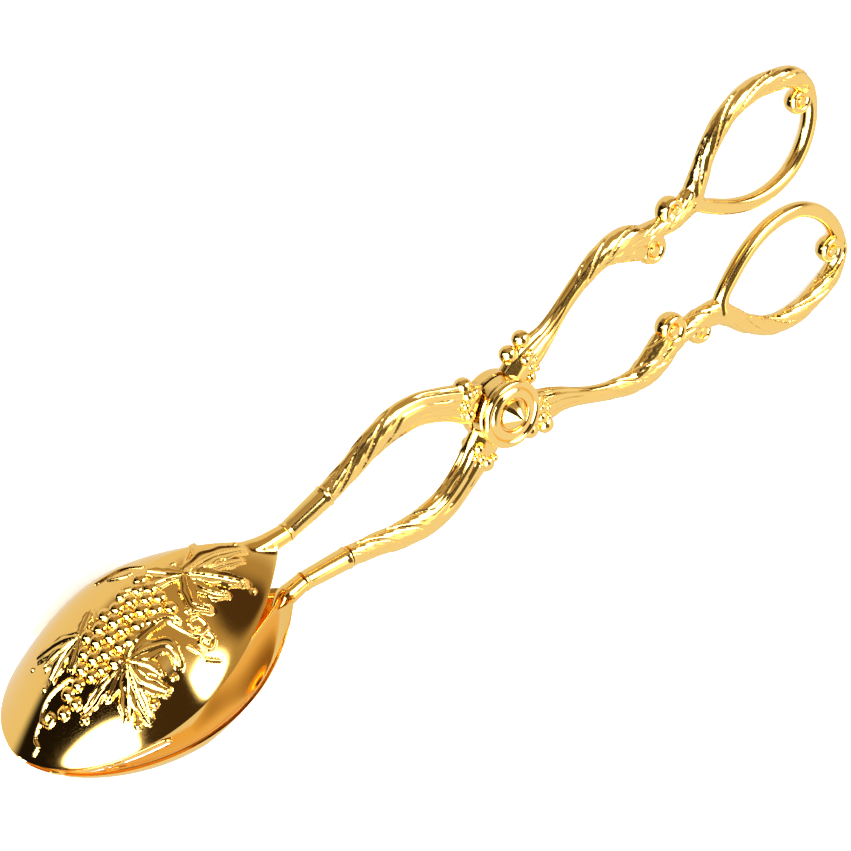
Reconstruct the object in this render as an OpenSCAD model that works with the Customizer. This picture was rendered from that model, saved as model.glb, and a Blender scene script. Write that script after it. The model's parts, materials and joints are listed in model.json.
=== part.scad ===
// Scissor-action ice tongs: two identical cast arms cross on one rivet.
// Each arm has a finger loop at one end and a soldered bowl at the other:
// a spoon on the rear arm and a four-tined fork on the front arm.
//
// The shapes are drawn in the tongs' own plane: x runs along the tongs towards
// the loops, y across them and z along the rivet, with zero at the rivet.
// laid_down() then puts the tongs on a table, resting on both bowl rims and loops.

/* [Bowls] */
// Width of a bowl across its rim
bowl_w = 47.4; // [42:0.2:48]
// Depth of the spoon below its rim
spoon_depth = 15.5; // [13:0.5:17]
// Depth of the fork below its rim
fork_depth = 10; // [9:0.5:14]
// Distance from a bowl's widest point to its tip
bowl_tip_l = 26.6; // [24:0.2:28]
// Distance from a bowl's widest point to its neck
bowl_neck_l = 40; // [39:0.5:41]
// Thickness of the pressed sheet
bowl_wall = 1.2; // [1:0.1:1.5]
// Gap between the two rims at the widest point, arms at rest
rim_gap = 6.9; // [6.9:0.1:9]

/* [Fork] */
// Number of slots between the tines
slots = 3; // [1:2:3]
// Distance from one tine to the next
tine_pitch = 9; // [8:0.5:10]
// Width of a slot
slot_w = 2.6; // [2:0.1:3]
// Length of a slot from the tip of the fork
slot_l = 25; // [18:1:28]

/* [Arms] */
// Diameter of the smooth half of a finger loop
rod_d = 3.6; // [3.2:0.1:4]
// Diameter of the large scroll that ends the arm
arm_scroll_d = 9.2; // [8.6:0.2:9.6]
// Diameter of the small scroll at the root of the loop
root_scroll_d = 6.4; // [6:0.2:6.8]
// Diameter of the scroll inside the far end of the loop
loop_scroll_d = 7.6; // [7:0.2:8]
// Diameter of the knobs where the leaves gather beside the boss
knob_d = 4; // [3:0.2:4.4]

/* [Pivot] */
// Diameter of the round boss where the arms cross
boss_d = 15; // [14:0.2:15.4]
// Thickness of the boss on each arm
boss_t = 3.1; // [2.6:0.1:3.4]
// Diameter of the rivet
rivet_d = 3.6; // [3:0.1:4]
// Height of the rivet's cone-shaped head
cone_h = 3.4; // [2.6:0.1:4]
// Thickness of the stepped disc under the head
rosette_t = 1.9; // [1.6:0.1:2.4]

/* [Hidden] */

$fn = 64;

// Places along the tongs
bowl_x = -98;               // widest point of a bowl
deep_x = -91;               // deepest point of a bowl
rim_slope = 0.115;          // the rims draw together towards the tips
rim_level_x = -85;          // from here to the neck the rims curve level
rim_levelling = 0.003;
spoon_side = 1.04;          // how the sides curve in: below 1 they are steep at the rim
fork_side = 0.7;
neck_curve = 1.25;          // above 1 the skin flattens out, as it does at the neck
neck_at = [-56, 6.4];       // a ferrule's end at the bowl
arm_end_at = [-44.5, 8.2];  // a ferrule's end at the arm
arm_scroll_at = [47.1, 10.5];
root_scroll_at = [54.9, 15.7];
loop_scroll_at = [94.9, 19.8];
loop_tip_x = 100.2;

// Arm sections as [x, y, half width, half thickness], from the boss outwards
bowl_side = [[-4.6, 3.8, 4.4, 2.5], [-8, 6.4, 4.3, 2.5], [-11, 8.4, 3.9, 2.4],
    [-14.5, 10.3, 3.7, 2.3], [-19, 12.2, 3.7, 2.3], [-24.5, 12.8, 3.7, 2.3],
    [-31, 12, 3.2, 2.1], [-37.5, 10, 2.7, 2], [-44.2, 8.3, 2.4, 2.1]];
loop_side = [[5, 3.9, 4.1, 2.5], [9, 6.1, 4.1, 2.5], [12.6, 7.3, 3.6, 2.4], [15.6, 8.3, 2.8, 2],
    [19, 10, 2.2, 1.7], [22.5, 11.9, 2, 1.6], [26.5, 13.8, 2.1, 1.7], [30.5, 15.3, 2.5, 1.9],
    [34.5, 16.3, 2.9, 2.1], [38.5, 16.6, 3.1, 2.4], [42.5, 15.9, 3, 2.5], [46.5, 14, 2.4, 2.4]];
// The root of a loop, then the closed loop itself: its leafy half, and the rod back to the root
loop_root = [[45, 15, 2.2, 2.2], [50, 13.8, 2.3, 2.2], [55, 13.3, 2.6, 2.3], [60.5, 14.2, 2.7, 2.3]];
loop_leaf = [[62, 15.6, 2.6, 2.3], [64.4, 18.6, 2.5, 2.2], [68.5, 23.2, 2.3, 2.2], [75, 27.5, 2.5, 2.2],
    [82, 28.9, 2.6, 2.2], [89, 27.9, 2.6, 2.2], [94.6, 25.8, 2.5, 2.2], [97.8, 22, 2.1, 2]];
loop_rod = [[98.3, 18], [97, 13.2], [93.8, 8.7], [89, 5.3], [83, 3.9], [77, 4.4], [71.5, 6.4],
    [66.5, 9.4], [62.8, 12.4]];
knobs = [[9.9, 11.1], [5.9, 9.8], [-6.8, -9.9]];

// A scroll's face from its middle outwards, as shares of its radius and of half its thickness
scroll_face = [[0, 1.1], [0.2, 1], [0.35, 0.6], [0.5, 0.6], [0.65, 0.95], [0.85, 0.9], [0.98, 0.45]];
root_scroll_t = 3.6;
arm_scroll_t = 4.6;
loop_scroll_t = 3.8;

// Play between pieces, and small thicknesses
thrust_gap = 0.05;          // faces that turn on each other
running_gap = 0.05;         // the rivet in the arm that turns
solder_gap = 0.02;          // a tang in its ferrule, the rivet in the arm it is fixed to
lap_gap = 0.5;              // an arm round the other arm's boss
washer_t = 0.6;
washer_d = 10;
rear_washer_t = 0.9;
rear_washer_d = 11;
dish_depth = 0.6;           // the rivet's head sits in the rosette
head_d = 6.6;
rivet_tail_h = 1.8;
tail_d = 6;
tang_d = 2.4;
tang_l = 5;
tang_root_l = 0.5;          // how far a tang starts inside its own piece

// A bowl's neck, from the ferrule to where it meets the skin
neck_d = 4;
neck_foot_d = 3;
neck_foot_at = [bowl_x + bowl_neck_l - 5.5, 7.2];

// Heights along the rivet from the plane between the arms
lap_z = washer_t / 2 + thrust_gap;
boss_z = lap_z + boss_t;
rosette_z = boss_z + rosette_t;
cone_z = rosette_z - dish_depth;

// Laying down: the lean that brings the rims and the loops' far ends onto one plane
loop_low_x = loop_leaf[7].x;
loop_low_z = loop_leaf[7][3];
bowl_low_x = bowl_x + 2.5;      // the leaning rim touches a little past its widest point
lean = atan((bowl_w / 2 - loop_low_z) / (loop_low_x - bowl_low_x));
tip_reach = -bowl_x * cos(lean) + norm([bowl_tip_l * cos(lean), bowl_w / 2 * sin(lean)]);
loop_reach = loop_tip_x * cos(lean) + rod_d / 2 * sin(lean);
lift = loop_low_x * sin(lean) + loop_low_z * cos(lean);

module laid_down() translate([(tip_reach - loop_reach) / 2, 0, lift]) rotate([0, lean, 0]) children();
// The rear arm and its pieces are the front arm's, turned over about the tongs' length
module turned_over() rotate([180, 0, 0]) children();

function unit(v) = v / norm(v);

// Smooth curve through the points p, with n steps to each span
function span_point(p, i, t) = let (
    a = p[max(i - 1, 0)], b = p[i], c = p[i + 1], d = p[min(i + 2, len(p) - 1)])
    b + t * (c - a) / 2 + t * t * (a - 2.5 * b + 2 * c - d / 2)
    + t * t * t * (1.5 * (b - c) + (d - a) / 2);
function smooth(p, n) = concat(
    [for (i = [0:len(p) - 2], k = [0:n - 1]) span_point(p, i, k / n)], [p[len(p) - 1]]);

function smooth_loop(p, n) = let (m = len(p), q = concat([p[m - 1]], p, [p[0], p[1]]))
    [for (i = [1:m], k = [0:n - 1]) span_point(q, i, k / n)];

// Rounded bar through sections of [x, y, half width, half thickness], open or closed on itself
module bar(sections, closed = false, steps = 2, sides = 12) {
    s = closed ? smooth_loop(sections, steps) : smooth(sections, steps);
    count = len(s);
    last = count - 1;
    points = [for (i = [0:last]) let (
        a = closed ? s[(i + last) % count] : s[max(i - 1, 0)],
        b = closed ? s[(i + 1) % count] : s[min(i + 1, last)],
        t = unit([b.x - a.x, b.y - a.y]))
        for (k = [0:sides - 1]) let (f = 360 * k / sides, out = s[i][2] * cos(f))
            [s[i].x - t.y * out, s[i].y + t.x * out, s[i][3] * sin(f)]];
    walls = [for (i = [0:closed ? last : last - 1], k = [0:sides - 1]) let (
        m = (k + 1) % sides, a = i * sides, b = (i + 1) % count * sides)
        each [[a + k, b + k, b + m], [a + k, b + m, a + m]]];
    near_end = [for (k = [0:sides - 1]) k];
    far_end = [for (k = [sides - 1:-1:0]) last * sides + k];
    polyhedron(points, closed ? walls : concat(walls, [near_end, far_end]), convexity = 6);
}

// Rolled scroll: a raised rim, a hollow turn and a button in the middle, the same on both faces
module scroll(at, d, thick) {
    r = d / 2;
    face = [for (p = scroll_face) [p.x * r, p.y * thick / 2]];
    translate([at.x, at.y, 0]) rotate_extrude()
        polygon(concat(face, [for (i = [len(face) - 1:-1:0]) [face[i].x, -face[i].y]]));
}

// Puts its children's +Z axis on the line from a to b, starting at a
module along(a, b) translate([a.x, a.y, 0]) rotate([0, 0, atan2(b.y - a.y, b.x - a.x)])
    rotate([0, 90, 0]) children();

// Pin that is soldered into a ferrule
module tang() translate([0, 0, -tang_root_l]) cylinder(h = tang_root_l + tang_l, d = tang_d);

// One arm as cast, lying as the front arm lies: loop at +y, bowl end at -y
module casting(rivet_gap) {
    difference() {
        union() {
            difference() {
                union() {
                    bar([for (s = bowl_side) [s.x, -s.y, s[2], s[3]]]);
                    bar(loop_side);
                    for (k = knobs) translate([k.x, k.y, 0]) sphere(d = knob_d, $fn = 32);
                }
                translate([0, 0, -boss_z]) cylinder(h = boss_z + lap_z, d = boss_d + 2 * lap_gap);
            }
            translate([0, 0, lap_z]) cylinder(h = boss_t, d = boss_d);
            bar(loop_root);
            bar(concat(loop_leaf, [for (p = loop_rod) [p.x, p.y, rod_d / 2, rod_d / 2]]), closed = true);
            scroll(arm_scroll_at, arm_scroll_d, arm_scroll_t);
            scroll(root_scroll_at, root_scroll_d, root_scroll_t);
            scroll(loop_scroll_at, loop_scroll_d, loop_scroll_t);
            along([arm_end_at.x, -arm_end_at.y], [neck_at.x, -neck_at.y]) tang();
        }
        cylinder(h = 4 * boss_z, d = rivet_d + 2 * rivet_gap, center = true);
    }
}

// How far a rim stands off the tongs' middle plane: less towards the tip, level at the neck
function rim_y(x) = rim_gap / 2 + rim_slope * (x - bowl_x)
    - rim_levelling * pow(max(0, x - rim_level_x), 2);

// A bowl's outline as [x, z] at angle a, from -180 to 180, with 0 at the neck
function rim_at(a) = abs(a) < 90
    ? [bowl_x + bowl_neck_l * (1 - abs(a) / 90), bowl_w / 2 * sign(a) * pow(abs(sin(a)), 0.86)]
    : [bowl_x + bowl_tip_l * cos(a), bowl_w / 2 * sin(a)];

// A point of a bowl's skin at angle a and share r of the way out to its rim
function skin_at(a, r, inset, depth, side) = let (
    edge = rim_at(a) - [deep_x, 0],
    flat = [deep_x, 0] + edge * r * (1 - inset / norm(edge)),
    steepness = side + (neck_curve - side) * max(0, cos(a)))
    [flat.x, rim_y(flat.x) + (depth - inset) * pow(1 - r * r, steepness), flat[1]];

// Pressed bowl, hollow towards -y, from rings of points rim to middle. Its sides curve in
// more as side goes down from 1.
module bowl_shell(depth, side, rings = 9, around = 32) {
    angles = [for (k = [0:around - 1]) -180 + 360 * (k + 0.5) / around];
    half = rings * around;
    points = concat(
        [for (inset = [0, bowl_wall], j = [0:rings - 1], a = angles)
            skin_at(a, cos(90 * j / rings), inset, depth, side)],
        [skin_at(0, 0, 0, depth, side), skin_at(0, 0, bowl_wall, depth, side)]);
    faces = [for (k = [0:around - 1]) let (n = (k + 1) % around) each concat(
        [for (j = [0:rings - 2]) let (o = j * around) each [
            [o + k, o + n, o + around + n], [o + k, o + around + n, o + around + k],
            [half + o + k, half + o + around + n, half + o + n],
            [half + o + k, half + o + around + k, half + o + around + n]]],
        [[half - around + k, half - around + n, 2 * half],
            [2 * half - around + n, 2 * half - around + k, 2 * half + 1],
            [k, half + k, half + n], [k, half + n, n]])];
    polyhedron(points, faces, convexity = 6);
}

// The bowl's solid neck runs up to the ferrule, with a tang inside it
module neck() {
    hull() {
        along(neck_at, arm_end_at) translate([0, 0, -tang_root_l]) cylinder(h = tang_root_l, d = neck_d);
        along(neck_foot_at, neck_at) cylinder(h = tang_root_l, d = neck_foot_d);
    }
    along(neck_at, arm_end_at) tang();
}

module slot_cuts() {
    root_x = bowl_x - bowl_tip_l + slot_l;
    for (i = [0:slots - 1]) translate([root_x, 0, (i - (slots - 1) / 2) * tine_pitch]) {
        rotate([-90, 0, 0]) cylinder(h = 2 * fork_depth, d = slot_w);
        translate([-slot_l - 1, 0, -slot_w / 2]) cube([slot_l + 1, 2 * fork_depth, slot_w]);
    }
}

// Smooth tapered socket with a bead at each seam
module ferrule() {
    length = norm(arm_end_at - neck_at);
    bore_r = tang_d / 2 + solder_gap;
    along(neck_at, arm_end_at) rotate_extrude() polygon([
        [bore_r, 0.05], [2.1, 0.05], [2.35, 0.5], [2.35, 0.9], [2, 1.4], [2.3, length - 1.5],
        [2.6, length - 1], [2.6, length - 0.5], [2.4, length - 0.05], [bore_r, length - 0.05]]);
}

module front_handle() color("gold") laid_down() casting(running_gap);
module rear_handle() color("gold") laid_down() turned_over() casting(solder_gap);

module spoon_bowl() color("khaki") laid_down() union() {
    bowl_shell(spoon_depth, spoon_side);
    neck();
}

module fork_bowl() color("khaki") laid_down() turned_over() union() {
    difference() {
        bowl_shell(fork_depth, fork_side);
        slot_cuts();
    }
    neck();
}

module spoon_ferrule() color("goldenrod") laid_down() ferrule();
module fork_ferrule() color("goldenrod") laid_down() turned_over() ferrule();

// Fixed in the rear arm: shank, cone-shaped head in front, peened tail behind
module pivot_rivet() color("khaki") laid_down() {
    tail_z = boss_z + rear_washer_t;
    rotate_extrude() polygon([
        [0, -tail_z - rivet_tail_h], [tail_d * 0.27, -tail_z - rivet_tail_h * 0.8],
        [tail_d * 0.45, -tail_z - rivet_tail_h * 0.35], [tail_d / 2, -tail_z], [rivet_d / 2, -tail_z],
        [rivet_d / 2, cone_z + thrust_gap], [head_d / 2, cone_z + thrust_gap],
        [head_d / 2, rosette_z], [0.5, cone_z + cone_h - 0.2], [0, cone_z + cone_h]]);
}

// Stepped disc on the front boss: rounded rim, groove, raised ring and a dish for the head
module pivot_rosette() color("gold") laid_down() translate([0, 0, boss_z]) {
    r = boss_d / 2;
    rotate_extrude() polygon([
        [rivet_d / 2 + running_gap, 0], [r - 0.2, 0], [r, 0.3], [r, rosette_t * 0.6],
        [r - 0.4, rosette_t * 0.85], [r - 1.1, rosette_t * 0.95], [r - 1.7, rosette_t * 0.7],
        [r - 2.3, rosette_t * 0.65], [r - 2.8, rosette_t], [r - 3.6, rosette_t],
        [r - 3.9, rosette_t - dish_depth], [rivet_d / 2 + running_gap, rosette_t - dish_depth]]);
}

module washer(z, t, d) translate([0, 0, z]) difference() {
    cylinder(h = t, d = d);
    translate([0, 0, -1]) cylinder(h = t + 2, d = rivet_d + 2 * solder_gap);
}

module spacer_washer() color("silver") laid_down() washer(-lap_z, washer_t + thrust_gap, washer_d);
module rear_washer() color("goldenrod") laid_down() washer(-boss_z - rear_washer_t, rear_washer_t, rear_washer_d);

front_handle();
rear_handle();
spoon_bowl();
fork_bowl();
spoon_ferrule();
fork_ferrule();
pivot_rivet();
pivot_rosette();
spacer_washer();
rear_washer();
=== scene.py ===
import json
import math

import bmesh
import bpy
import numpy as np
from mathutils import Matrix, Vector, kdtree


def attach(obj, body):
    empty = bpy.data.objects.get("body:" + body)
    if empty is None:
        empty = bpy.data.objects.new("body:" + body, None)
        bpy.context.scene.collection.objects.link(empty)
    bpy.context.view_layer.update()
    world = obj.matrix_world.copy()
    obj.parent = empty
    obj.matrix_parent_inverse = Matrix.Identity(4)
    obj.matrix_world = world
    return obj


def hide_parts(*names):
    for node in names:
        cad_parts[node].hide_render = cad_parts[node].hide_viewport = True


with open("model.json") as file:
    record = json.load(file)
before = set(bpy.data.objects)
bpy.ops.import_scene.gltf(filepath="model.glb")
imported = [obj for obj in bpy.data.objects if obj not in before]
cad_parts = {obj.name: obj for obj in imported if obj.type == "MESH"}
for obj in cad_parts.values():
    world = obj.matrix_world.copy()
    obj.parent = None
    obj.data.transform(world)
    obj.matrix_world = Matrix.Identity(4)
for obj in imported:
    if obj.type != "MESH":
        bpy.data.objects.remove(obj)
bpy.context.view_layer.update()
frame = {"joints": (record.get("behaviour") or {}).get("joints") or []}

# ---- The tongs' own plane ----------------------------------------------------------------
# The tongs lie leaning on both bowl rims and both loops' far ends. Every piece is drawn in
# their own plane, in millimetres: x from the rivet to the loops, y across, z along the rivet.
rivet_joint = frame["joints"][0]
rivet_axis = Vector(rivet_joint["axis"]).normalized()
across_tongs = Vector((0, 1, 0))
along_tongs = across_tongs.cross(rivet_axis)
tongs_turn = Matrix((along_tongs, across_tongs, rivet_axis)).transposed()
laid_down = (
    Matrix.Translation(rivet_joint["pos_m"]) @ tongs_turn.to_4x4() @ Matrix.Scale(0.001, 4)
)


def laid(points):
    """Points of the tongs' own plane, in the row frame."""
    m = np.array(laid_down)
    return np.asarray(points, float) @ m[:3, :3].T + m[:3, 3]


def turned_over(points):
    """The rear arm's place of a point of the front arm."""
    return np.asarray(points, float) * (1, -1, -1)


# ---- Camera ------------------------------------------------------------------------------
# A long lens half a metre above the tongs, on the spoon's side of them and towards the tips,
# rolled so that the tongs run from the lower left to the upper right.
EYE = (-279.7, 367.3, 441.1)
EYE_RIGHT = Vector((0.734, -0.2433, 0.6341)).normalized()
EYE_BACK = Vector((-0.4179, 0.5743, 0.704)).normalized()

camera_data = bpy.data.cameras.new("camera")
camera_data.sensor_width = 36
camera_data.lens = 131.2
camera_data.clip_start = 0.01
camera = bpy.data.objects.new("camera", camera_data)
eye_turn = Matrix((EYE_RIGHT, EYE_BACK.cross(EYE_RIGHT), EYE_BACK)).transposed()
camera.matrix_world = Matrix.Translation(Vector(laid([EYE])[0])) @ (tongs_turn @ eye_turn).to_4x4()
bpy.context.scene.collection.objects.link(camera)
bpy.context.scene.camera = camera
bpy.context.scene.view_settings.view_transform = "Standard"


# ---- Floor and studio --------------------------------------------------------------------
# A plain white table under soft even light. The gold also mirrors the studio: two large soft
# boxes, the dark side that the camera stands on, a dim wall and a dark ceiling. These are
# painted in light on a sphere around the tongs that only mirror reflections see.
class Wire:
    """A socket in a sum: the operators add the Math nodes."""

    def __init__(self, finish, socket):
        self.finish, self.socket = finish, socket

    def math(self, operation, *values):
        return self.finish.add("ShaderNodeMath", {"operation": operation}, dict(enumerate(values)))

    def __add__(self, other):
        return self.math("ADD", self, other)

    def __sub__(self, other):
        return self.math("SUBTRACT", self, other)

    def __rsub__(self, other):
        return self.math("SUBTRACT", other, self)

    def __mul__(self, other):
        return self.math("MULTIPLY", self, other)

    __radd__, __rmul__ = __add__, __mul__


class Finish:
    """A material, built node by node."""

    def __init__(self, name):
        self.material = bpy.data.materials.new(name)
        self.material.use_nodes = True
        self.tree = self.material.node_tree
        self.tree.nodes.clear()

    def add(self, kind, settings=None, values=None, out=0):
        node = self.tree.nodes.new(kind)
        for key, value in (settings or {}).items():
            setattr(node, key, value)
        for key, value in (values or {}).items():
            if isinstance(value, Wire):
                self.tree.links.new(value.socket, node.inputs[key])
            else:
                node.inputs[key].default_value = value
        return Wire(self, node.outputs[out])

    def end(self, surface):
        output = self.tree.nodes.new("ShaderNodeOutputMaterial")
        self.tree.links.new(surface.socket, output.inputs["Surface"])
        return self.material


def piece_from(name, points, faces, material, crease=40):
    """A mesh object from points that are already in the row frame, smooth but for its creases."""
    mesh = bpy.data.meshes.new(name)
    mesh.from_pydata([tuple(p) for p in points], [], faces)
    mesh.polygons.foreach_set("use_smooth", [True] * len(mesh.polygons))
    mesh.set_sharp_from_angle(angle=math.radians(crease))
    mesh.materials.append(material)
    piece = bpy.data.objects.new(name, mesh)
    bpy.context.scene.collection.objects.link(piece)
    return piece


world = bpy.data.worlds.new("studio")
world.use_nodes = True
world.node_tree.nodes["Background"].inputs["Color"].default_value = (1, 0.985, 0.95, 1)
world.node_tree.nodes["Background"].inputs["Strength"].default_value = 1.0
bpy.context.scene.world = world

table_white = Finish("table_white")
table_paint = table_white.end(
    table_white.add(
        "ShaderNodeBsdfPrincipled",
        None,
        {
            "Base Color": (0.94, 0.94, 0.93, 1),
            "Roughness": 1,
            "Specular IOR Level": 0,
            "Emission Color": (1, 1, 1, 1),
            "Emission Strength": 0.4,
        },
    )
)
FLOOR_HALF = 2.0
floor = piece_from(
    "floor",
    [(FLOOR_HALF * x, FLOOR_HALF * y, 0) for x, y in ((-1, -1), (1, -1), (1, 1), (-1, 1))],
    [(0, 1, 2, 3)],
    table_paint,
)
floor.visible_glossy = False

lamp_data = bpy.data.lights.new("overhead", "AREA")
lamp_data.shape = "DISK"
lamp_data.size = 2.4
lamp_data.energy = 70
overhead = bpy.data.objects.new("overhead", lamp_data)
overhead.location = (0, 0, 1.3)
overhead.visible_glossy = False
bpy.context.scene.collection.objects.link(overhead)

studio_light = Finish("studio_light")
place = studio_light.add("ShaderNodeTexCoord", out="Object")
spot = studio_light.add("ShaderNodeVectorMath", {"operation": "NORMALIZE"}, {0: place})
ahead, left, up = (studio_light.add("ShaderNodeSeparateXYZ", None, {0: spot}, out=k) for k in range(3))
turn = left.math("ARCTAN2", left, ahead) * math.degrees(1)
high = up.math("ARCSINE", up) * math.degrees(1)
# turn from and to, counted from the camera's side, height from and to, soft edge, all in
# degrees, how much the height's edges drop with each degree of turn, and the light's colour
STUDIO = [
    (-400, 400, -120, -2, 8, 0, (0.84, 0.8, 0.7)),
    (-112, 8, -17, 36, 6, 0, (0.44, 0.33, 0.18)),
    (-30, 24, -42, 0, 8, 0, (0.28, 0.2, 0.1)),
    (-103, -89, -7, 19, 4, 0, (0.07, 0.04, 0.02)),
    (0, 86, -46, 12, 5, 0, (0.012, 0.009, 0.006)),
    (-12, 16, -4, 27, 4, 0, (0.02, 0.012, 0.008)),
    (-58, 0, 37, 62, 3, 0, (0.05, 0.03, 0.015)),
    (-158, -104, 50, 60, 2, 0, (2.4, 2.1, 1.5)),
    (-104, -60, 80, 200, 1, -0.64, (8, 8, 8)),
    (0, 34, 30, 200, 1, 1.4, (8, 8, 8)),
    (34, 95, 20, 62, 1.5, 0, (8, 8, 8)),
    (-400, 400, 61, 120, 2, 0, (0.12, 0.09, 0.05)),
]
BRIGHTEST = 8.0
light = (0.93 / BRIGHTEST, 0.9 / BRIGHTEST, 0.84 / BRIGHTEST, 1)
for turn_from, turn_to, high_from, high_to, soft, drop, colour in STUDIO:
    inside = 1.0
    for angle, low, top in ((turn, turn_from, turn_to), (high + drop * turn, high_from, high_to)):
        for at, flip in ((low, False), (top, True)):
            edge = studio_light.add(
                "ShaderNodeMapRange",
                {"interpolation_type": "SMOOTHSTEP"},
                {"Value": angle, "From Min": at - soft, "From Max": at + soft},
            )
            inside = inside * (1 - edge if flip else edge)
    light = studio_light.add(
        "ShaderNodeMix",
        {"data_type": "RGBA"},
        {0: inside, 6: light, 7: (*(c / BRIGHTEST for c in colour), 1)},
        out=2,
    )
shine = studio_light.add(
    "ShaderNodeBsdfPrincipled",
    None,
    {
        "Base Color": (0, 0, 0, 1),
        "Roughness": 1,
        "Specular IOR Level": 0,
        "Emission Color": light,
        "Emission Strength": BRIGHTEST,
    },
)
TURNS, HIGHS, STUDIO_R = 64, 32, 1.4
studio = piece_from(
    "mirrored_studio",
    [
        (STUDIO_R * math.cos(h) * math.cos(t), STUDIO_R * math.cos(h) * math.sin(t), STUDIO_R * math.sin(h))
        for h in np.linspace(-math.pi / 2, math.pi / 2, HIGHS + 1)
        for t in np.linspace(0, 2 * math.pi, TURNS + 1)
    ],
    [
        (
            j * (TURNS + 1) + i,
            j * (TURNS + 1) + i + 1,
            (j + 1) * (TURNS + 1) + i + 1,
            (j + 1) * (TURNS + 1) + i,
        )
        for j in range(HIGHS)
        for i in range(TURNS)
    ],
    studio_light.end(shine),
)
studio.location = (-0.03, 0, 0.015)
studio.rotation_euler.z = math.radians(120)
for ray in ("camera", "diffuse", "transmission", "shadow", "volume_scatter"):
    setattr(studio, f"visible_{ray}", False)


# ---- Arms --------------------------------------------------------------------------------
# Two identical castings in gold-plated brass, polished bright: a round boss, a leafy arm that
# ends in a rolled scroll and a finger loop, and on the other side an arm for the ferrule.
# The rear casting is the front one turned over.
BOSS_D = 15.0
BOSS_T = 3.1
LAP_Z = 0.35
BOSS_Z = LAP_Z + BOSS_T
BORE_D = 3.7
ROD_D = 3.6
KNOB_D = 4.0
# Sections as x, y, half width, half thickness, from the boss outwards
BOWL_SIDE = [
    (-4.6, -3.8, 4.4, 2.5), (-8, -6.4, 4.3, 2.5), (-11, -8.4, 3.9, 2.4), (-14.5, -10.3, 3.7, 2.3),
    (-19, -12.2, 3.7, 2.3), (-24.5, -12.8, 3.7, 2.3), (-31, -12, 3.2, 2.1), (-37.5, -10, 2.7, 2),
    (-44.2, -8.3, 2.4, 2.1),
]
LOOP_SIDE = [
    (5, 3.9, 4.1, 2.5), (9, 6.1, 4.1, 2.5), (12.6, 7.3, 3.6, 2.4), (15.6, 8.3, 2.8, 2),
    (19, 10, 2.2, 1.7), (22.5, 11.9, 2, 1.6), (26.5, 13.8, 2.1, 1.7), (30.5, 15.3, 2.5, 1.9),
    (34.5, 16.3, 2.9, 2.1), (38.5, 16.6, 3.1, 2.4), (42.5, 15.9, 3, 2.5), (46.5, 14, 2.4, 2.4),
]
LOOP_ROOT = [(45, 15, 2.2, 2.2), (50, 13.8, 2.3, 2.2), (55, 13.3, 2.6, 2.3), (60.5, 14.2, 2.7, 2.3)]
LOOP_LEAF = [
    (62, 15.6, 2.6, 2.3), (64.4, 18.6, 2.5, 2.2), (68.5, 23.2, 2.3, 2.2), (75, 27.5, 2.5, 2.2),
    (82, 28.9, 2.6, 2.2), (89, 27.9, 2.6, 2.2), (94.6, 25.8, 2.5, 2.2), (97.8, 22, 2.1, 2),
]
LOOP_ROD = [
    (98.3, 18), (97, 13.2), (93.8, 8.7), (89, 5.3), (83, 3.9), (77, 4.4), (71.5, 6.4), (66.5, 9.4),
    (62.8, 12.4),
]
KNOBS = [(9.9, 11.1), (5.9, 9.8), (-6.8, -9.9)]


def gold(name, colour, roughness, ripple, ripple_height):
    """Polished gold plate; the metal under it is a little uneven, and more so where it is cast."""
    finish = Finish(name)
    place = finish.add("ShaderNodeTexCoord", out="Object")
    dips = finish.add("ShaderNodeTexNoise", None, {"Vector": place, "Scale": ripple, "Detail": 1.5})
    dull = finish.add("ShaderNodeTexNoise", None, {"Vector": place, "Scale": 90, "Detail": 2})
    bump = finish.add(
        "ShaderNodeBump", None, {"Strength": 1, "Distance": ripple_height, "Height": dips}
    )
    plate = finish.add(
        "ShaderNodeBsdfPrincipled",
        None,
        {
            "Base Color": (*colour, 1),
            "Metallic": 1,
            "Roughness": dull * 0.04 + roughness,
            "Normal": bump,
        },
    )
    return finish.end(plate)


cast_gold = gold("cast_gold", (1.0, 0.68, 0.22), 0.12, 400, 0.00002)


def along_curve(sections, step, closed=False):
    """The sections joined by a smooth curve, about one step apart."""
    p = [np.array(s, float) for s in sections]
    n = len(p)
    made = []
    for i in range(n if closed else n - 1):
        if closed:
            a, b, c, d = p[i - 1], p[i], p[(i + 1) % n], p[(i + 2) % n]
        else:
            a, b, c, d = p[max(i - 1, 0)], p[i], p[i + 1], p[min(i + 2, n - 1)]
        count = max(1, round(np.linalg.norm((c - b)[:2]) / step))
        for t in np.arange(count) / count:
            made.append(
                b + t * (c - a) / 2 + t * t * (a - 2.5 * b + 2 * c - d / 2)
                + t**3 * (1.5 * (b - c) + (d - a) / 2)
            )
    if not closed:
        made.append(p[-1])
    return np.array(made)


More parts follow.
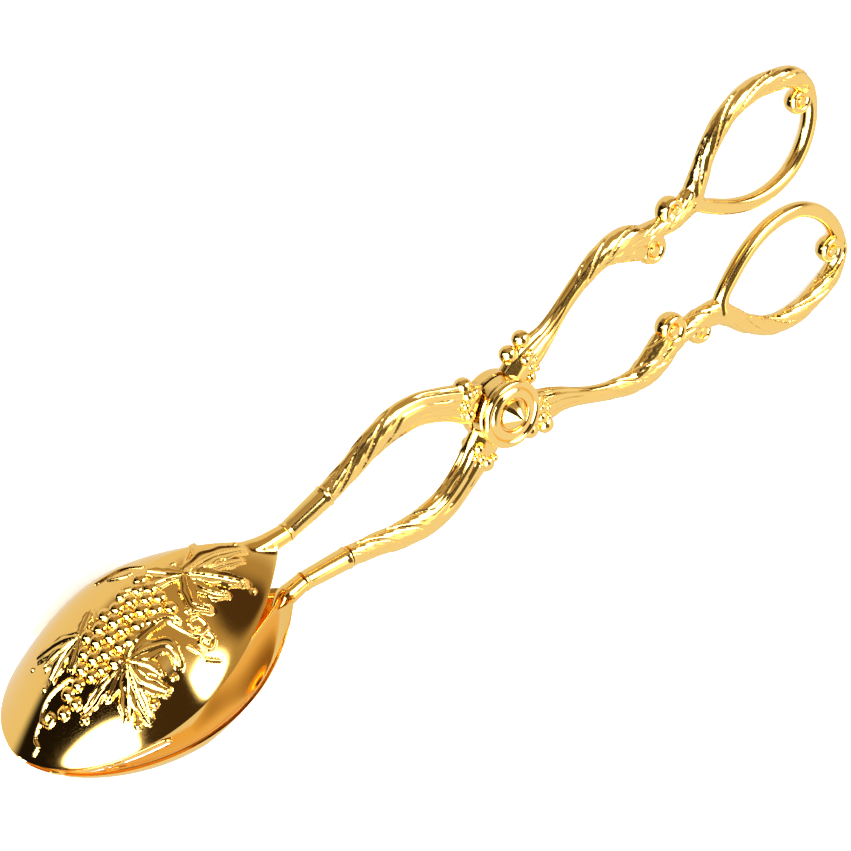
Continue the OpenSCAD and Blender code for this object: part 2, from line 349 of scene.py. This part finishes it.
class Casting:
    """Points and faces of one casting, gathered shape by shape."""

    def __init__(self):
        self.points, self.faces, self.count = [], [], 0

    def take(self, points, faces):
        self.faces += [tuple(i + self.count for i in f) for f in faces]
        self.points.append(np.asarray(points, float))
        self.count += len(points)

    def bar(self, sections, relief, sides=56, step=0.35, closed=False):
        """A bar of oval section; relief(s, g) is how far its skin is cut in at distance s along it
        and at share g of the way round from its outer edge to its inner one."""
        s = along_curve(sections, step, closed)
        ahead = np.roll(s, -1, 0) - np.roll(s, 1, 0)
        if not closed:
            ahead[0], ahead[-1] = s[1] - s[0], s[-1] - s[-2]
        run = ahead[:, :2] / np.linalg.norm(ahead[:, :2], axis=1)[:, None]
        gone = np.concatenate([[0], np.cumsum(np.linalg.norm(np.diff(s[:, :2], axis=0), axis=1))])
        turn = 2 * np.pi * np.arange(sides) / sides
        cut = relief(gone[:, None], np.abs((turn + np.pi) % (2 * np.pi) - np.pi)[None, :] / np.pi)
        out = (s[:, 2:3] - cut) * np.cos(turn)
        x = s[:, :1] - run[:, 1:] * out
        y = s[:, 1:2] + run[:, :1] * out
        z = (s[:, 3:4] - cut) * np.sin(turn)
        rings = len(s)
        faces = [
            (i * sides + k, (i + 1) % rings * sides + k,
             (i + 1) % rings * sides + (k + 1) % sides, i * sides + (k + 1) % sides)
            for i in range(rings if closed else rings - 1)
            for k in range(sides)
        ]
        if not closed:
            faces += [tuple(range(sides)), tuple((rings - 1) * sides + k for k in range(sides - 1, -1, -1))]
        self.take(np.stack([x, y, z], -1).reshape(-1, 3), faces)

    def turned(self, profile, middle=(0, 0, 0), axis=(0, 0, 1), around=96):
        """A turned shape: profile is radius and height, from one end of the axis to the other."""
        up = Vector(axis).normalized()
        side = up.orthogonal().normalized()
        front = up.cross(side)
        points, rings = [], []
        for r, h in profile:
            if r == 0:
                rings.append([len(points)] * around)
                points.append(Vector(middle) + up * h)
                continue
            rings.append([len(points) + k for k in range(around)])
            for k in range(around):
                t = 2 * math.pi * k / around
                points.append(Vector(middle) + up * h + (side * math.cos(t) + front * math.sin(t)) * r)
        faces = []
        for low, high in zip(rings, rings[1:]):
            for k in range(around):
                n = (k + 1) % around
                corners = (low[k], low[n], high[n], high[k])
                faces.append(tuple(dict.fromkeys(corners)))
        for ring, flip in ((rings[0], True), (rings[-1], False)):
            if len(set(ring)) > 1:
                faces.append(tuple(reversed(ring)) if flip else tuple(ring))
        self.take([tuple(p) for p in points], [f for f in faces if len(f) > 2])

    def bead(self, x, y, z, r, around=20):
        arc = [math.pi * k / 12 for k in range(13)]
        self.turned([(r * math.sin(a) if 0 < k < 12 else 0, -r * math.cos(a)) for k, a in enumerate(arc)],
                    (x, y, z), around=around)

    def curl(self, at, d, start, turn, half_w, half_t):
        """A strand rolled inwards, clockwise, round a button in the middle."""
        strand = []
        for k in range(25):
            share = k / 24
            angle = math.radians(start - turn * share)
            w = half_w * (1 - 0.5 * share)
            r = (d / 2 - half_w) * (1 - share) + 0.17 * d * share
            strand.append(
                (at[0] + r * math.cos(angle), at[1] + r * math.sin(angle), w, half_t * (1 - 0.25 * share))
            )
        self.bar(strand, lambda s, g: 0 * s * g, sides=32, step=0.3)
        button = d * 0.16
        self.turned([(0, -half_t * 0.95), (button * 0.7, -half_t * 0.85), (button, -half_t * 0.5),
                     (button, half_t * 0.5), (button * 0.7, half_t * 0.85), (0, half_t * 0.95)],
                    (*at, 0), around=32)

    def object(self, name, material, over=False):
        points = np.concatenate(self.points)
        piece = piece_from(name, laid(turned_over(points) if over else points), self.faces, material)
        return piece


def rises(value, low, high):
    """0 below low, 1 above high, and smooth between them."""
    t = np.clip((value - low) / (high - low), 0, 1)
    return t * t * (3 - 2 * t)


def leaves(phase, depth):
    """Overlapping leaves: each steps down to a narrow groove and has two fine veins."""
    p = phase % 1
    groove = np.exp(-((np.minimum(p, 1 - p) / 0.06) ** 2))
    veins = np.exp(-(((p - 0.36) / 0.04) ** 2)) + np.exp(-(((p - 0.68) / 0.04) ** 2))
    return depth * (groove + 0.3 * veins + 0.7 * (1 - p) ** 2)


def flutes(g, count, depth):
    """Rounded ribs along the bar with sharp grooves between them."""
    return depth * (1 - np.abs(np.sin(np.pi * count * g)) ** 0.6)


def bowl_side_relief(s, g):
    twist = leaves(s / 7.5 - 2.4 * g, 0.26) * rises(s, 19, 25) * (1 - 0.5 * rises(s, 39, 43))
    fan = flutes(g + 0.004 * s, 5, 0.5) * rises(s, 3, 6) * (1 - rises(s, 14, 24))
    return twist + fan


def loop_side_relief(s, g):
    twist = leaves(s / 7 + 2.4 * g, 0.26) * rises(s, 22, 28)
    fan = flutes(g, 5, 0.45) * rises(s, 3, 6) * (1 - rises(s, 13, 21))
    return twist + fan


def loop_relief(s, g):
    return leaves(s / 11 + 2 * g, 0.3) * rises(s, 0, 4) * (1 - rises(s, 42, 50))


def root_relief(s, g):
    return leaves(s / 7 + 1.8 * g, 0.24)


casting = Casting()
casting.bar(BOWL_SIDE, bowl_side_relief)
casting.bar(LOOP_SIDE, loop_side_relief)
casting.bar(LOOP_ROOT, root_relief)
casting.bar(
    [(34, 15.6, 1.6, 1.9), (38, 15.2, 2.6, 2.3), (41.5, 14, 3, 2.3), (45, 11.6, 2.6, 2.1)],
    root_relief,
)
casting.bar(
    [(53, 14.8, 1.6, 1.8), (57.5, 14.6, 2.4, 2.1), (61.5, 16, 2.4, 2.1), (64, 18.4, 2, 2)],
    root_relief,
)
rod = [(x, y, ROD_D / 2, ROD_D / 2) for x, y in LOOP_ROD]
casting.bar(LOOP_LEAF + rod, loop_relief, sides=48, closed=True)
casting.curl((47.1, 10.5), 9.4, 125, 430, 1.6, 2.4)
casting.curl((54.9, 15.7), 7.4, 225, 430, 1.25, 2.1)
casting.curl((94.9, 19.8), 7.8, 45, 430, 1.3, 2)
for x, y in KNOBS:
    casting.bead(x, y, 0, KNOB_D / 2, around=32)
BEADS = [
    (-8.4, -4.4, 1.5), (-8.6, -6.8, 1.1), (-7.4, -8.6, 1.5),
    (-10, -5.6, 0.8), (-9.4, -8, 0.7), (-5.6, -8.6, 0.9),
    (8.4, 3, 1.4), (9, 5.2, 1), (8.4, 7.4, 1.4), (10.4, 4.1, 0.8), (10.6, 6.3, 0.8), (10, 8.4, 0.8),
]
for x, y, r in BEADS:
    for face in (1, -1):
        casting.bead(x, y, (2.5 - 0.55 * r) * face, r)

# the arm is cut away round the other arm's boss
for shape in casting.points:
    near = np.hypot(shape[:, 0], shape[:, 1]) < BOSS_D / 2 + 0.5
    shape[near, 2] = np.maximum(shape[near, 2], LAP_Z)
edge = 0.35
casting.turned(
    [(BORE_D / 2, LAP_Z), (BOSS_D / 2 - edge, LAP_Z), (BOSS_D / 2, LAP_Z + edge),
     (BOSS_D / 2, BOSS_Z - edge), (BOSS_D / 2 - edge, BOSS_Z), (BORE_D / 2, BOSS_Z)]
)
for name, node, body, over in (
    ("front_arm_casting", "front_handle", "front_arm", False),
    ("rear_arm_casting", "rear_handle", "rear_arm", True),
):
    arm = casting.object(name, cast_gold, over)
    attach(arm, body)
    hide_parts(node)


# ---- Ferrules ----------------------------------------------------------------------------
# A smooth tapered socket over the end of each arm and the neck of each bowl, soldered, with a
# small bead of solder at both seams.
ARM_END = (-44.5, 8.2, 0)
NECK = (-56, 6.4, 0)
FERRULE_L = math.dist(ARM_END, NECK)

for name, node, body, over in (
    ("spoon_socket", "spoon_ferrule", "rear_arm", False),
    ("fork_socket", "fork_ferrule", "front_arm", True),
):
    socket = Casting()
    socket.turned(
        [(1.3, 0.05), (2.0, 0.05), (2.15, 0.15), (2.2, 0.4), (2.12, 0.7), (2.02, 0.85), (2.05, 1.2),
         (2.12, 3), (2.22, 6), (2.34, FERRULE_L - 1.6), (2.34, FERRULE_L - 0.75), (2.44, FERRULE_L - 0.6),
         (2.5, FERRULE_L - 0.4), (2.44, FERRULE_L - 0.15), (2.3, FERRULE_L - 0.05), (1.3, FERRULE_L - 0.05)],
        NECK,
        Vector(ARM_END) - Vector(NECK),
        around=64,
    )
    ferrule = socket.object(name, cast_gold, over)
    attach(ferrule, body)
    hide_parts(node)


# ---- Bowls -------------------------------------------------------------------------------
# Pressed from gold-plated brass sheet and mirror polished. The back is embossed with a bunch
# of grapes, three vine leaves and curling tendrils; the inside is smooth. The fork is the same
# pressing with three slots sawn from its tip.
BOWL_W = 47.4
# Depth, and how steeply the sides curve in
SPOON_SHAPE = (15.5, 1.04)
FORK_SHAPE = (10.0, 0.7)
NECK_CURVE = 1.25
OUTLINE_POWER = 0.86
BOWL_TIP_L = 26.6
BOWL_NECK_L = 40.0
BOWL_WALL = 1.2
RIM_GAP = 6.9
BOWL_X = -98.0
DEEP_X = -91.0
RIM_SLOPE = 0.115
RIM_LEVEL_X = -85.0
RIM_LEVELLING = 0.003
SLOTS = 3
TINE_PITCH = 9.0
SLOT_W = 2.6
SLOT_L = 25.0

sheet_gold = gold("sheet_gold", (1.0, 0.64, 0.18), 0.045, 60, 0.00005)

# The bunch of grapes lies along the bowl, beside its middle line
BUNCH = [
    (-88, 6.2, 4.2), (-93, 6, 5), (-99, 6, 5), (-104, 6, 4.4), (-109, 6.3, 3.2), (-113, 6.3, 2),
    (-115.4, 6.2, 0.7),
]
GRAPE_R = 1.45
# Strokes as points x, z on the bowl, half width and height: veined leaf blades, then tendrils
BLADES = [
    ([(-82, 5.4), (-76.3, 3.5), (-71.4, 2.6), (-66.1, 2.1)], 1.7, 0.75),
    ([(-80, 5.2), (-74.4, 5), (-68.5, 4.4)], 1.2, 0.6),
    ([(-82, 5.4), (-77.9, 7), (-74.2, 8.4), (-71.6, 9.2)], 1.6, 0.75),
    ([(-82, 5.6), (-81.6, 8.4), (-79.7, 10.2), (-77, 10.9)], 1.3, 0.65),
    ([(-82.3, 5.8), (-84.2, 9), (-84.8, 11.2), (-82.3, 12.9)], 1.5, 0.7),
    ([(-82.5, 5.4), (-84.9, 4), (-87.6, 1.3)], 1.4, 0.7),
    ([(-83, 5.4), (-88, 4.6), (-91.4, 3.3), (-94.2, 1)], 1.2, 0.6),
    ([(-101.8, 11.7), (-98.3, 10.6), (-95, 10.7), (-91.4, 11), (-89.4, 12.9)], 1.3, 0.75),
    ([(-101.8, 11.7), (-97.7, 13.2), (-94.4, 15), (-95.4, 18.3)], 1.6, 0.75),
    ([(-101.8, 11.9), (-99.6, 15), (-98.8, 17.6)], 1.3, 0.65),
    ([(-101.9, 12), (-102.4, 15.2), (-101.4, 17.2), (-99.6, 19.8)], 1.6, 0.75),
    ([(-102, 12), (-103.9, 15.2), (-105.1, 18), (-105.7, 20.2)], 1.6, 0.75),
    ([(-102.2, 12), (-105.6, 15), (-108.8, 17.7)], 1.6, 0.7),
    ([(-102.2, 11.8), (-105.4, 12), (-109, 12.6)], 1.5, 0.65),
    ([(-104, 11.4), (-108, 10.8), (-111.8, 10.4), (-113.6, 9.6)], 1.2, 0.6),
    ([(-104.4, 0.4), (-106.6, -3.2), (-111.1, -7.9)], 1.5, 0.7),
    ([(-104.4, 0.4), (-108.6, -2), (-112, -4)], 1.3, 0.65),
    ([(-104.4, 0.4), (-108.5, -0.4), (-113.2, -0.1)], 1.4, 0.65),
    ([(-104.4, 0.6), (-107, 2), (-110, 3.2)], 1.2, 0.6),
    ([(-104.2, 0.3), (-102, -0.6), (-99.4, -1.6)], 1.2, 0.6),
]
TENDRILS = [
    ([(-82, 5.4), (-79.6, 3), (-77.4, 1.2), (-74.4, -1.9)], 0.5, 0.5),
    ([(-91.6, 10.9), (-90.5, 13.4), (-89.2, 15), (-87.4, 15.7), (-85.6, 14.8), (-86, 13), (-88, 13.2),
      (-88.2, 14.4), (-87.2, 14.6)], 0.42, 0.5),
    ([(-86.1, 15.3), (-86.2, 17), (-88, 18), (-89.2, 17), (-88.2, 16), (-87.4, 16.8)], 0.42, 0.5),
    ([(-91.4, 16.3), (-90.4, 17.6), (-90.2, 18.9), (-88, 19.9)], 0.4, 0.45),
    ([(-110.6, 4), (-113.6, 1.8), (-115.7, 1.1), (-117.6, 1.4), (-118.6, 2.4), (-118.3, 4.3), (-117, 4.6),
      (-116.9, 3.2), (-117.8, 2.8)], 0.42, 0.5),
    ([(-118.4, 2), (-119.7, 1.8), (-121.3, 2.4), (-121.8, 3.6), (-123.1, 3.4)], 0.4, 0.45),
    ([(-94.2, -7.1), (-92, -6), (-89.5, -5), (-88, -3.2), (-86.8, -0.7)], 0.5, 0.45),
    ([(-92.5, -4.4), (-90.9, -2), (-89.3, -1.1)], 0.5, 0.45),
    ([(-101, 1.6), (-100.1, 0.4), (-99.2, -1.9)], 0.45, 0.45),
]
LOOSE_BEADS = [
    (-103.2, 19.1, 0.9), (-107.8, 19, 0.8), (-113.8, 10.6, 0.9), (-97.3, 18.6, 0.7), (-72, 10.6, 0.8),
    (-86.6, 11.6, 0.8), (-81.8, 2.4, 0.6), (-112.4, -8, 0.7), (-114.4, -1.2, 0.7), (-67.4, 0.6, 0.6),
]


def rim_height(x):
    return RIM_GAP / 2 + RIM_SLOPE * (x - BOWL_X) - RIM_LEVELLING * np.maximum(0, x - RIM_LEVEL_X) ** 2


def bowl_skin(a, r, inset, shape):
    """A point of a bowl's skin at angle a (0 at the neck) and share r of the way to the rim."""
    depth, side = shape
    round_tip = np.abs(a) > 90
    rad = np.radians(a)
    tip_x = BOWL_X + BOWL_TIP_L * np.cos(rad)
    tip_z = BOWL_W / 2 * np.sin(rad)
    neck_x = BOWL_X + BOWL_NECK_L * (1 - np.abs(a) / 90)
    neck_z = BOWL_W / 2 * np.sign(a) * np.abs(np.sin(rad)) ** OUTLINE_POWER
    edge_x = np.where(round_tip, tip_x, neck_x) - DEEP_X
    edge_z = np.where(round_tip, tip_z, neck_z)
    share = r * (1 - inset / np.hypot(edge_x, edge_z))
    x = DEEP_X + edge_x * share
    steepness = side + (NECK_CURVE - side) * np.maximum(0, np.cos(rad))
    y = rim_height(x) + (depth - inset) * np.clip(1 - r * r, 0, 1) ** steepness
    return np.stack([x, y, edge_z * share], -1)


def neck_run(x):
    """Height and half width of the neck at x; the ferrule ends it at one end."""
    gone = np.maximum(0, NECK[0] - x)
    return NECK[1] + 0.1 * gone, 2 + 0.05 * gone


def drawn_to_neck(skin):
    """The outer skin, drawn up smoothly round the neck."""
    middle, half = neck_run(skin[..., 0])
    across = np.abs(skin[..., 2])
    past = np.maximum(0, NECK[0] - skin[..., 0] - 7)
    crown = middle + np.sqrt(np.maximum(0, half**2 - across**2))
    stem = crown - 2.5 * np.maximum(0, across - half) - 0.12 * past**2
    share = np.clip(0.5 + (stem - skin[..., 1]) / (2 * NECK_FILLET), 0, 1)
    drawn = skin.copy()
    drawn[..., 1] += share * (stem - skin[..., 1]) + NECK_FILLET * share * (1 - share)
    return drawn


NECK_FILLET = 2.4
AROUND = 720
OUTER_RINGS = 190
INNER_RINGS = 28
angles = -180 + 360 * (np.arange(AROUND) + 0.5) / AROUND


def ring_shares(rings):
    """Shares of the way out to the rim, from near the middle to the rim, closer at the rim."""
    q = (np.arange(rings) + 1) / rings
    return 1 - (1 - q) ** 1.25


def embossed(skin):
    """How high the pattern stands at each point of the skin, in millimetres."""
    height = np.zeros(len(skin))
    tree = kdtree.KDTree(len(skin))
    for i, p in enumerate(skin):
        tree.insert((p[0], 0, p[2]), i)
    tree.balance()

    def on_skin(x, z):
        found = tree.find_n((x, 0, z), 4)
        weight = np.array([1 / (gap + 0.001) for _, _, gap in found])
        return np.array((x, skin[[i for _, i, _ in found], 1] @ weight / weight.sum(), z))

    def raise_by(stroke, half_w, shape):
        low, high = stroke.min(0) - half_w.max(), stroke.max(0) + half_w.max()
        near = np.where(((skin > low) & (skin < high)).all(1))[0]
        for chunk in np.array_split(near, max(1, len(near) // 4000)):
            gap = np.linalg.norm(skin[chunk][:, None] - stroke[None], axis=2)
            closest = gap.argmin(1)
            q = np.clip(gap[np.arange(len(chunk)), closest] / half_w[closest], 0, 1)
            height[chunk] = np.maximum(height[chunk], shape(q, closest / max(1, len(stroke) - 1)))

    bunch = np.array(BUNCH)
    chance = np.random.default_rng(7)
    row = 0
    for x in np.arange(BUNCH[-1][0], BUNCH[0][0] + 0.1, GRAPE_R * 1.65):
        middle, half = np.interp(-x, -bunch[:, 0], bunch[:, 1]), np.interp(-x, -bunch[:, 0], bunch[:, 2])
        for k in range(-3, 4):
            z = (k + 0.5 * (row % 2)) * GRAPE_R * 1.9
            off_x, off_z, size = chance.uniform(-0.25, 0.25, 3)
            if abs(z) <= half:
                raise_by(
                    np.array([on_skin(x + off_x, middle + z + off_z)]),
                    np.array([GRAPE_R * (1 + 0.4 * size)]),
                    lambda q, t: 1.05 * (1 - q * q) ** 0.6,
                )
        row += 1
    for x, z, r in LOOSE_BEADS:
        raise_by(np.array([on_skin(x, z)]), np.array([r]), lambda q, t: 0.7 * r * (1 - q * q) ** 0.6)
    for points, half_w, high in BLADES:
        line = along_curve(points, 0.1)
        t = np.linspace(0, 1, len(line))
        width = half_w * (0.4 + 0.8 * np.sin(np.pi * t**0.8) ** 0.7) * (1 + 0.12 * np.sin(21 * t))
        raise_by(
            np.array([on_skin(*p) for p in line]),
            width,
            lambda q, t: 1.35
            * high
            * ((0.5 + 0.5 * q**3) * (1 - q**8) + 0.4 * np.exp(-((q / 0.16) ** 2)))
            * rises(1.02 - t, 0, 0.15),
        )
    for points, half_w, high in TENDRILS:
        line = along_curve(points, 0.1)
        raise_by(
            np.array([on_skin(*p) for p in line]),
            np.full(len(line), half_w),
            lambda q, t: high * (1 - q * q) ** 0.6,
        )
    return height


def pressed_bowl(shape):
    """A pressing as points and faces: embossed outer skin, rounded rim and smooth inner skin."""
    grid_a, grid_r = np.meshgrid(angles, ring_shares(OUTER_RINGS))
    outer = drawn_to_neck(bowl_skin(grid_a, grid_r, 0, shape))
    across_ring = np.gradient(outer, axis=0)
    round_ring = np.roll(outer, -1, 1) - np.roll(outer, 1, 1)
    normal = np.cross(round_ring, across_ring)
    normal /= np.linalg.norm(normal, axis=2)[..., None]
    normal *= np.sign(normal[..., 1:2] + 1e-9)
    flat = outer.reshape(-1, 3)
    outer = flat + embossed(flat)[:, None] * normal.reshape(-1, 3)
    lip = bowl_skin(angles, 1, BOWL_WALL / 2, shape) - (0, 0.18, 0)
    grid_a, grid_r = np.meshgrid(angles, ring_shares(INNER_RINGS)[::-1])
    inner = bowl_skin(grid_a, grid_r, BOWL_WALL, shape).reshape(-1, 3)
    top = bowl_skin(np.zeros(1), np.zeros(1), 0, shape)
    low = bowl_skin(np.zeros(1), np.zeros(1), BOWL_WALL, shape)
    points = np.concatenate([outer, lip, inner, top, low])
    rings = OUTER_RINGS + 1 + INNER_RINGS
    faces = [
        (
            j * AROUND + k,
            j * AROUND + (k + 1) % AROUND,
            (j + 1) * AROUND + (k + 1) % AROUND,
            (j + 1) * AROUND + k,
        )
        for j in range(rings - 1)
        for k in range(AROUND)
    ]
    last = (rings - 1) * AROUND
    faces += [(rings * AROUND, (k + 1) % AROUND, k) for k in range(AROUND)]
    faces += [(rings * AROUND + 1, last + k, last + (k + 1) % AROUND) for k in range(AROUND)]
    return points, faces


NECK_SECTIONS = [(x, *(float(v) for v in (*neck_run(x), neck_run(x)[1]))) for x in (-56, -57.5, -59, -60.5)]
NECK_SECTIONS += [(-62, 7.4, 1.7, 2), (-63.5, 8, 0.9, 1.4)]
for name, node, body, over, shape in (
    ("spoon_pressing", "spoon_bowl", "rear_arm", False, SPOON_SHAPE),
    ("fork_pressing", "fork_bowl", "front_arm", True, FORK_SHAPE),
):
    pressing = Casting()
    pressing.take(*pressed_bowl(shape))
    if over:
        shell = pressing.object(name, sheet_gold, over)
        for slot in range(SLOTS):
            z = (slot - (SLOTS - 1) / 2) * TINE_PITCH
            end_x = BOWL_X - BOWL_TIP_L + SLOT_L
            arc = [math.radians(90 - 180 * k / 12) for k in range(13)]
            outline = [(end_x + SLOT_W / 2 * math.cos(t), z + SLOT_W / 2 * math.sin(t)) for t in arc]
            outline += [(end_x - SLOT_L - 3, z - SLOT_W / 2), (end_x - SLOT_L - 3, z + SLOT_W / 2)]
            n = len(outline)
            blade = piece_from(
                "saw",
                laid(turned_over([(x, y, w) for y in (-2, 30) for x, w in outline])),
                [tuple(range(n)), tuple(range(2 * n - 1, n - 1, -1))]
                + [(k, k + n, (k + 1) % n + n, (k + 1) % n) for k in range(n)],
                sheet_gold,
            )
            saw_mesh = bmesh.new()
            saw_mesh.from_mesh(blade.data)
            bmesh.ops.recalc_face_normals(saw_mesh, faces=saw_mesh.faces)
            saw_mesh.to_mesh(blade.data)
            saw_mesh.free()
            saw = shell.modifiers.new("slot", "BOOLEAN")
            saw.object = blade
            saw.solver = "EXACT"
            bpy.context.view_layer.update()
            cut = bpy.data.meshes.new_from_object(shell.evaluated_get(bpy.context.evaluated_depsgraph_get()))
            shell.modifiers.clear()
            shell.data = cut
            bpy.data.objects.remove(blade)
        neck = Casting()
        neck.bar(NECK_SECTIONS, lambda s, g: 0 * s * g, sides=48, step=0.5)
        stem = neck.object(name + "_neck", sheet_gold, over)
        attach(stem, body)
    else:
        pressing.bar(NECK_SECTIONS, lambda s, g: 0 * s * g, sides=48, step=0.5)
        shell = pressing.object(name, sheet_gold, over)
    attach(shell, body)
    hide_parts(node)


# ---- Rivet, rosette and washers ----------------------------------------------------------
# Turned from brass and gold plated. The rosette is a stepped disc on the front boss, the
# rivet's pointed head stands in its dish, and its tail is peened over a washer behind.
ROSETTE_T = 1.9
CONE_H = 3.4
ROSETTE_Z = BOSS_Z + ROSETTE_T
CONE_Z = ROSETTE_Z - 0.6
REAR_WASHER_T = 0.9
TAIL_Z = BOSS_Z + REAR_WASHER_T
RIVET_R = 1.8

turned_gold = gold("turned_gold", (1.0, 0.69, 0.23), 0.07, 300, 0.00001)

rosette_shape = Casting()
rosette_shape.turned(
    [(RIVET_R + 0.05, BOSS_Z), (7.3, BOSS_Z), (7.45, BOSS_Z + 0.15), (7.5, BOSS_Z + 0.4),
     (7.45, BOSS_Z + 0.9), (7.25, BOSS_Z + 1.4), (6.9, BOSS_Z + 1.7), (6.5, BOSS_Z + 1.8),
     (6.15, BOSS_Z + 1.7), (5.9, BOSS_Z + 1.45), (5.75, BOSS_Z + 1.3), (5.6, BOSS_Z + 1.4),
     (5.3, BOSS_Z + 1.75), (4.9, BOSS_Z + 1.88), (4.2, BOSS_Z + 1.9), (3.9, BOSS_Z + 1.85),
     (3.7, BOSS_Z + 1.65), (3.6, BOSS_Z + 1.3), (RIVET_R + 0.05, BOSS_Z + 1.3)],
    around=128,
)
rosette = rosette_shape.object("rosette", turned_gold)
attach(rosette, "front_arm")
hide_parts("pivot_rosette")

rivet_shape = Casting()
rivet_shape.turned(
    [(0, -TAIL_Z - 1.8), (1, -TAIL_Z - 1.72), (1.9, -TAIL_Z - 1.35), (2.6, -TAIL_Z - 0.75),
     (2.9, -TAIL_Z - 0.3),
     (3, -TAIL_Z), (RIVET_R, -TAIL_Z), (RIVET_R, CONE_Z + 0.05), (3.2, CONE_Z + 0.05), (3.3, CONE_Z + 0.2),
     (3.3, CONE_Z + 0.5), (3.15, CONE_Z + 0.7), (0.45, CONE_Z + CONE_H - 0.25), (0.2, CONE_Z + CONE_H - 0.08),
     (0, CONE_Z + CONE_H)],
    around=96,
)
rivet = rivet_shape.object("rivet", turned_gold)
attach(rivet, "rear_arm")
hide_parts("pivot_rivet")

for name, node, low, high, outer_r in (
    ("thrust_washer", "spacer_washer", -LAP_Z, LAP_Z - 0.05, 5.0),
    ("tail_washer", "rear_washer", -TAIL_Z, -BOSS_Z, 5.5),
):
    washer_shape = Casting()
    washer_shape.turned(
        [(RIVET_R + 0.02, low), (outer_r - 0.15, low), (outer_r, low + 0.15), (outer_r, high - 0.15),
         (outer_r - 0.15, high), (RIVET_R + 0.02, high), (RIVET_R + 0.02, low)],
        around=64,
    )
    washer = washer_shape.object(name, turned_gold)
    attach(washer, "rear_arm")
    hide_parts(node)
